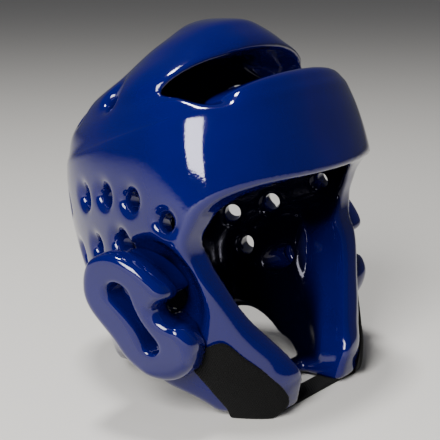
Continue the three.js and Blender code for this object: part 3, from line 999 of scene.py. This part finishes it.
    def build(self, lattice: Lattice, skin: Array) -> bpy.types.Object:
        """The shell as a mesh on the frame.

        Args:
            lattice: where to shape it.
            skin: distance to the outer skin.

        Returns:
            The new object, with how far inside each place lies as an attribute, which sets the
            painted shade inside the hollow.
        """
        hollow_shade_from, hollow_shade_full = 0.72, 0.97
        seam_front, seam_back = -112, -82
        piece = meshed("foam_shell", lattice, softened(self.field(lattice, skin), 1))
        places = upright(np.array([v.co for v in piece.data.vertices]))
        wall = self.wall + self.cheek_extra * self._cheek(places[:, 1], places[:, 2])
        depth = -lattice.sample(skin, places) / wall
        # Share of painted shade inside the hollow, from none to whole as the place lies deeper in
        # the foam.
        inside = smooth_step(depth, hollow_shade_from, hollow_shade_full)
        share = smooth_step(places[:, 1], seam_front, seam_back) * (1 - inside)
        marks = {"inside": inside, "over_seam": places[:, 2] - self.seam_height,
                 "seam_share": share}
        for name, values in marks.items():
            mark = piece.data.attributes.new(name, "FLOAT", "POINT")
            mark.data.foreach_set("value", values.astype(np.float32))
        return piece


@dataclass(frozen=True)
class EarPad:
    """Lobed foam pad in the ear dish.

    Args:
        side: the wearer's side that it is on.
        centre: of its face, as Y and Z.
        length: from its front to its back.
        height: from its lower to its upper lobe.
        face: place of its face along X, at its centre.
        lean: how far its face leans out at the top, in degrees.
        edge_round: radius of the face's edge.
        set_back: how far its base lies behind its face.
        bulge: how far its sides swell.
        slot_depth: of the slot in its face.
        slot_upper: upper end of the slot, its place as shares and its half width.
        slot_lower: lower end, in the same way.
        slot_waist: half width between them.
        outline: of its face, as shares of its length and height.
    """

    side: Side
    centre: Pair = (-51.0, 60.0)
    length: float = 61.0
    height: float = 88.0
    face: float = 121.0
    lean: float = 18.0
    edge_round: float = 4.0
    set_back: float = 10.0
    bulge: float = 2.5
    slot_depth: float = 17.0
    slot_upper: Triple = (0.03, 0.2, 8.5)
    slot_lower: Triple = (-0.02, -0.21, 6.5)
    slot_waist: float = 4.6
    outline: tuple[Pair, ...] = (
        (0.5, 0.16), (0.42, 0.33), (0.2, 0.475), (-0.09, 0.485), (-0.31, 0.37), (-0.44, 0.22),
        (-0.475, 0.12), (-0.36, 0.09), (-0.25, 0.045), (-0.25, -0.045), (-0.34, -0.12),
        (-0.44, -0.17), (-0.475, -0.29), (-0.37, -0.41), (-0.19, -0.48), (0.02, -0.495),
        (0.24, -0.43), (0.38, -0.28), (0.42, -0.1))

    def _place(self, along: float, up: float) -> Array:
        """Y and Z of a place given as shares of the pad's size."""
        return np.array([self.centre[0] + along * self.length, self.centre[1] + up * self.height])

    def _slot(self, y: Array, z: Array) -> Array:
        """The slot's outline.

        Args:
            y: places along Y.
            z: places along Z.

        Returns:
            The distances in Y and Z, negative inside the slot.
        """
        top = self._place(*self.slot_upper[:2])
        low = self._place(*self.slot_lower[:2])
        run = low - top
        gy, gz = np.meshgrid(y, z, indexing="ij")
        t = ((gy - top[0]) * run[0] + (gz - top[1]) * run[1]) / (run @ run)
        t = np.clip(t, 0, 1)
        off = np.hypot(gy - top[0] - t * run[0], gz - top[1] - t * run[1])
        ends = self.slot_upper[2] + (self.slot_lower[2] - self.slot_upper[2]) * t
        waist = 4 * t * (1 - t)
        return off - (ends + (self.slot_waist - ends.mean()) * waist ** 1.5)

    def field(self, lattice: Lattice, shell: Shell, skin_lattice: Lattice, skin: Array) -> Array:
        """Distance to the pad on the wearer's left.

        Args:
            lattice: where to measure it.
            shell: the shell that the pad is seated on.
            skin_lattice: where the shell's skin is known.
            skin: distance to the shell's skin.

        Returns:
            The distances, negative inside the pad.
        """
        set_depth, bulge_depth, slot_round = (4.0, 44.0), 26.0, 3.0
        seat_gap, seat_round, base_round = 0.4, 2.0, 1.5
        notch_back, notch_room, notch_depth = 3.0, 1.5, 24.0
        x, y, z = lattice.grids()
        _, ay, az = lattice.axes()
        knots = np.array([self._place(*place) for place in self.outline])
        lean = math.radians(self.lean)
        face = (x - self.face - math.tan(lean) * (z - self.centre[1])) * math.cos(lean)
        flat = outline_distance(spline(knots, True, CURVE_STEPS), ay, az)
        back = self.set_back * smooth_step(-face, *set_depth)
        spots = np.stack(np.broadcast_arrays(
            (y - back - ay[0]) / lattice.step, (z - az[0]) / lattice.step), -1)
        wall = grid_sample(flat, spots)
        swell = self.bulge * np.sin(np.clip(-face / bulge_depth, 0, 1) * math.pi) ** 0.7
        pad = round_and(wall - swell, face, self.edge_round)
        slot = np.maximum(self._slot(ay, az)[None], -(face + self.slot_depth))
        pad = round_and(pad, -slot, slot_round)
        places = np.stack(np.broadcast_arrays(x, y, z), -1)
        body = skin_lattice.sample(skin, places)
        seat = round_and(body, -shell.dish(x, y, z), seat_round) - seat_gap
        pad = round_and(pad, -seat, base_round)
        hole_y, hole_z = shell.ear_hole
        room = np.sqrt((y - hole_y + notch_back) ** 2 + (z - hole_z) ** 2)
        room = room - shell.ear_hole_radius - notch_room
        room = np.maximum(room, x - shell.dish_floor - notch_depth)
        return round_and(pad, -room, seat_round)

    def build(self, shell: Shell, skin_lattice: Lattice, skin: Array) -> bpy.types.Object:
        """The pad as a mesh on the frame.

        Args:
            shell: the shell that the pad is seated on.
            skin_lattice: where the shell's skin is known.
            skin: distance to the shell's skin.

        Returns:
            The new object.
        """
        lattice = Lattice.over((70, -92, 6), (146, -8, 116), 1.25)
        field = self.field(lattice, shell, skin_lattice, skin)
        name = f"ear_pad_foam_{self.side.name.lower()}"
        return meshed(name, lattice, softened(field, 1), self.side)


@dataclass(frozen=True)
class ChinStrap:
    """Webbing that hugs both jaw ends and runs flat under the chin.

    Args:
        thickness: of the webbing.
        gap: between the webbing and the foam.
        middle_width: across the webbing under the chin.
        middle: its middle line under the chin, along Y.
        side: outline on the cheek as it lies, Y and Z before the frame's shift.
    """

    thickness: float = 2.5
    gap: float = 0.3
    middle_width: float = 17.0
    middle: float = -80.0
    side: tuple[Pair, ...] = (
        (-48, 44), (-60, 53), (-71, 57), (-80, 46), (-89, 34), (-97, 20), (-97, 8), (-86, 0),
        (-67, 0), (-66, 8), (-59, 24))

    def field(self, lattice: Lattice, skin_lattice: Lattice, skin: Array) -> Array:
        """Distance to the strap.

        Args:
            lattice: where to measure it.
            skin_lattice: where the shell's skin is known.
            skin: distance to the shell's skin.

        Returns:
            The distances, negative inside the webbing.
        """
        fine, first_y, first_z = 0.5, -110, -8
        jaw_width, widening = 22.0, (30.0, 66.0)
        x, y, z = lattice.grids()
        places = np.stack(np.broadcast_arrays(x, y, z), -1)
        body = skin_lattice.sample(skin, places) - self.gap
        lie_y, lie_z = lean_back(y, z)
        ay, az = np.linspace(first_y, -30, 161), np.linspace(first_z, 66, 149)
        cheek = outline_distance(spline(np.array(self.side, float), True, 4), ay, az)
        spots = np.stack([lie_y - first_y, lie_z - first_z], -1)
        cheek = grid_sample(cheek, spots[0] / fine)[None]
        hug = np.maximum(np.maximum(body - self.thickness, -body), cheek)
        hug = np.maximum(hug, -lie_z)
        spread = smooth_step(np.abs(x), *widening)
        half = self.middle_width / 2 + spread * (jaw_width / 2 - self.middle_width / 2)
        flat = np.maximum(np.abs(lie_y - self.middle) - half, np.abs(lie_z - self.thickness / 2)
                          - self.thickness / 2)
        flat = np.maximum(flat, body - self.thickness)
        return np.minimum(hug, flat)

    def build(self, skin_lattice: Lattice, skin: Array) -> bpy.types.Object:
        """The strap as a mesh on the frame, with its lengths as a UV map.

        Args:
            skin_lattice: where the shell's skin is known.
            skin: distance to the shell's skin.

        Returns:
            The new object.
        """
        climb, narrow, slope, start = 1.06, 0.96, 0.28, 0.1
        lattice = Lattice.over((-100, -112, -48), (100, -40, 42), 0.95)
        field = self.field(lattice, skin_lattice, skin)
        piece = meshed("chin_strap_webbing", lattice, softened(field, 1))
        mesh = piece.data
        lengths = mesh.uv_layers.new(name="lengths")
        places = np.array([v.co for v in mesh.vertices])
        along = np.abs(places[:, 0]) + places[:, 2] * climb
        across = (places[:, 1] - SHIFT_Y / MM + 0.079) * narrow - places[:, 2] * slope
        loops = np.array([loop.vertex_index for loop in mesh.loops])
        uv = np.stack([along, across + start], -1)[loops]
        lengths.data.foreach_set("uv", uv.ravel().astype(np.float32))
        return piece


def grid_sample(field: Array, spots: Array) -> Array:
    """Values of a flat field between its places.

    Args:
        field: one value for each place.
        spots: where to read it, in steps from the first place.

    Returns:
        One value for each spot.
    """
    cell = np.clip(np.floor(spots).astype(int), 0, np.array(field.shape) - 2)
    f = np.clip(spots - cell, 0, 1)
    i, j = cell[..., 0], cell[..., 1]
    u, v = f[..., 0], f[..., 1]
    return (field[i, j] * (1 - u) * (1 - v) + field[i + 1, j] * u * (1 - v)
            + field[i, j + 1] * (1 - u) * v + field[i + 1, j + 1] * u * v)


@dataclass(frozen=True)
class SoftLight:
    """One soft box of the studio.

    Args:
        name: its name.
        place: where it stands, in metres.
        aim: what it points at.
        size: width and height of its face.
        power: in watts.
        tint: its colour.
    """

    name: str
    place: Triple
    aim: Triple
    size: Pair
    power: float
    tint: Triple = (1.0, 1.0, 1.0)

    def build(self) -> bpy.types.Object:
        """The light, pointed at its aim.

        Returns:
            The new light.
        """
        data = bpy.data.lights.new(self.name, "AREA")
        data.shape = "RECTANGLE"
        data.size, data.size_y = self.size
        data.energy = self.power
        data.color = self.tint
        lamp = bpy.data.objects.new(self.name, data)
        bpy.context.scene.collection.objects.link(lamp)
        lamp.location = self.place
        turn = (Vector(self.aim) - Vector(self.place)).to_track_quat("-Z", "Y")
        lamp.rotation_euler = turn.to_euler()
        return lamp


@dataclass(frozen=True)
class Studio:
    """Camera, soft lights and pale floor.

    Args:
        camera_place: where the camera stands, in metres.
        camera_aim: what it points at.
        focal: its focal length, in millimetres.
        lights: the soft boxes.
    """

    camera_place: Triple = (-0.6797, -0.5164, 0.3123)
    camera_aim: Triple = (0.0010, -0.0127, 0.1127)
    focal: float = 100.06
    lights: tuple[SoftLight, ...] = (
        SoftLight("temple_box", (-1.6, -0.48, 1.04), (0, -0.03, 0.15), (0.72, 1.15), 72.0),
        SoftLight("overhead", (-0.1, 0.2, 1.9), (0, 0, 0.1), (0.3, 0.3), 28.0),
    )

    def build(self) -> None:
        """Sets up the camera, lights, floor and sky."""
        data = bpy.data.cameras.new("camera")
        data.lens = self.focal
        data.sensor_width = 36.0
        camera = bpy.data.objects.new("camera", data)
        bpy.context.scene.collection.objects.link(camera)
        camera.location = self.camera_place
        look = Vector(self.camera_aim) - Vector(self.camera_place)
        camera.rotation_euler = look.to_track_quat("-Z", "Y").to_euler()
        bpy.context.scene.camera = camera
        for light in self.lights:
            light.build()
        mesh = bpy.data.meshes.new("floor")
        half = 6.0
        corners = [(-half, -half, 0), (half, -half, 0), (half, half, 0), (-half, half, 0)]
        mesh.from_pydata(corners, [], [(0, 1, 2, 3)])
        floor = bpy.data.objects.new("floor", mesh)
        bpy.context.scene.collection.objects.link(floor)
        mesh.materials.append(PaperFloor("backdrop_paper").material())
        world = bpy.data.worlds.new("studio")
        world.use_nodes = True
        sky = world.node_tree.nodes["Background"]
        sky.inputs["Color"].default_value = (0.9, 0.92, 1.0, 1.0)
        sky.inputs["Strength"].default_value = 0.12
        bpy.context.scene.world = world


def settle(piece: bpy.types.Object, node: str, material: bpy.types.Material) -> None:
    """Gives a piece its finish and its place on the frame.

    Args:
        piece: the new piece.
        node: the frame's node that it stands for.
        material: its finish.
    """
    piece.data.materials.append(material)
    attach(piece, "root")
    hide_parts(node)
    log.info("%s: %d faces", piece.name, len(piece.data.polygons))


def main() -> None:
    """Builds the headgear and its studio."""
    logging.basicConfig(level=logging.INFO)
    lattice = Lattice.over(SKIN_LOW, SKIN_HIGH, SKIN_STEP)
    skin = skin_form(lattice)
    effects = Effects()
    Studio().build()
    shell = Shell()
    foam = shell.build(lattice, skin)
    settle(foam, "shell", DippedVinyl("shell_vinyl").material(effects))
    pad_vinyl = DippedVinyl("pad_vinyl", gloss=0.08).material(effects)
    for side in Side:
        pad = EarPad(side).build(shell, lattice, skin)
        settle(pad, f"ear_pad_{side.name.lower()}", pad_vinyl)
    strap = ChinStrap().build(lattice, skin)
    settle(strap, "chin_strap", Webbing("webbing").material(effects))


if __name__ == "__main__":
    main()
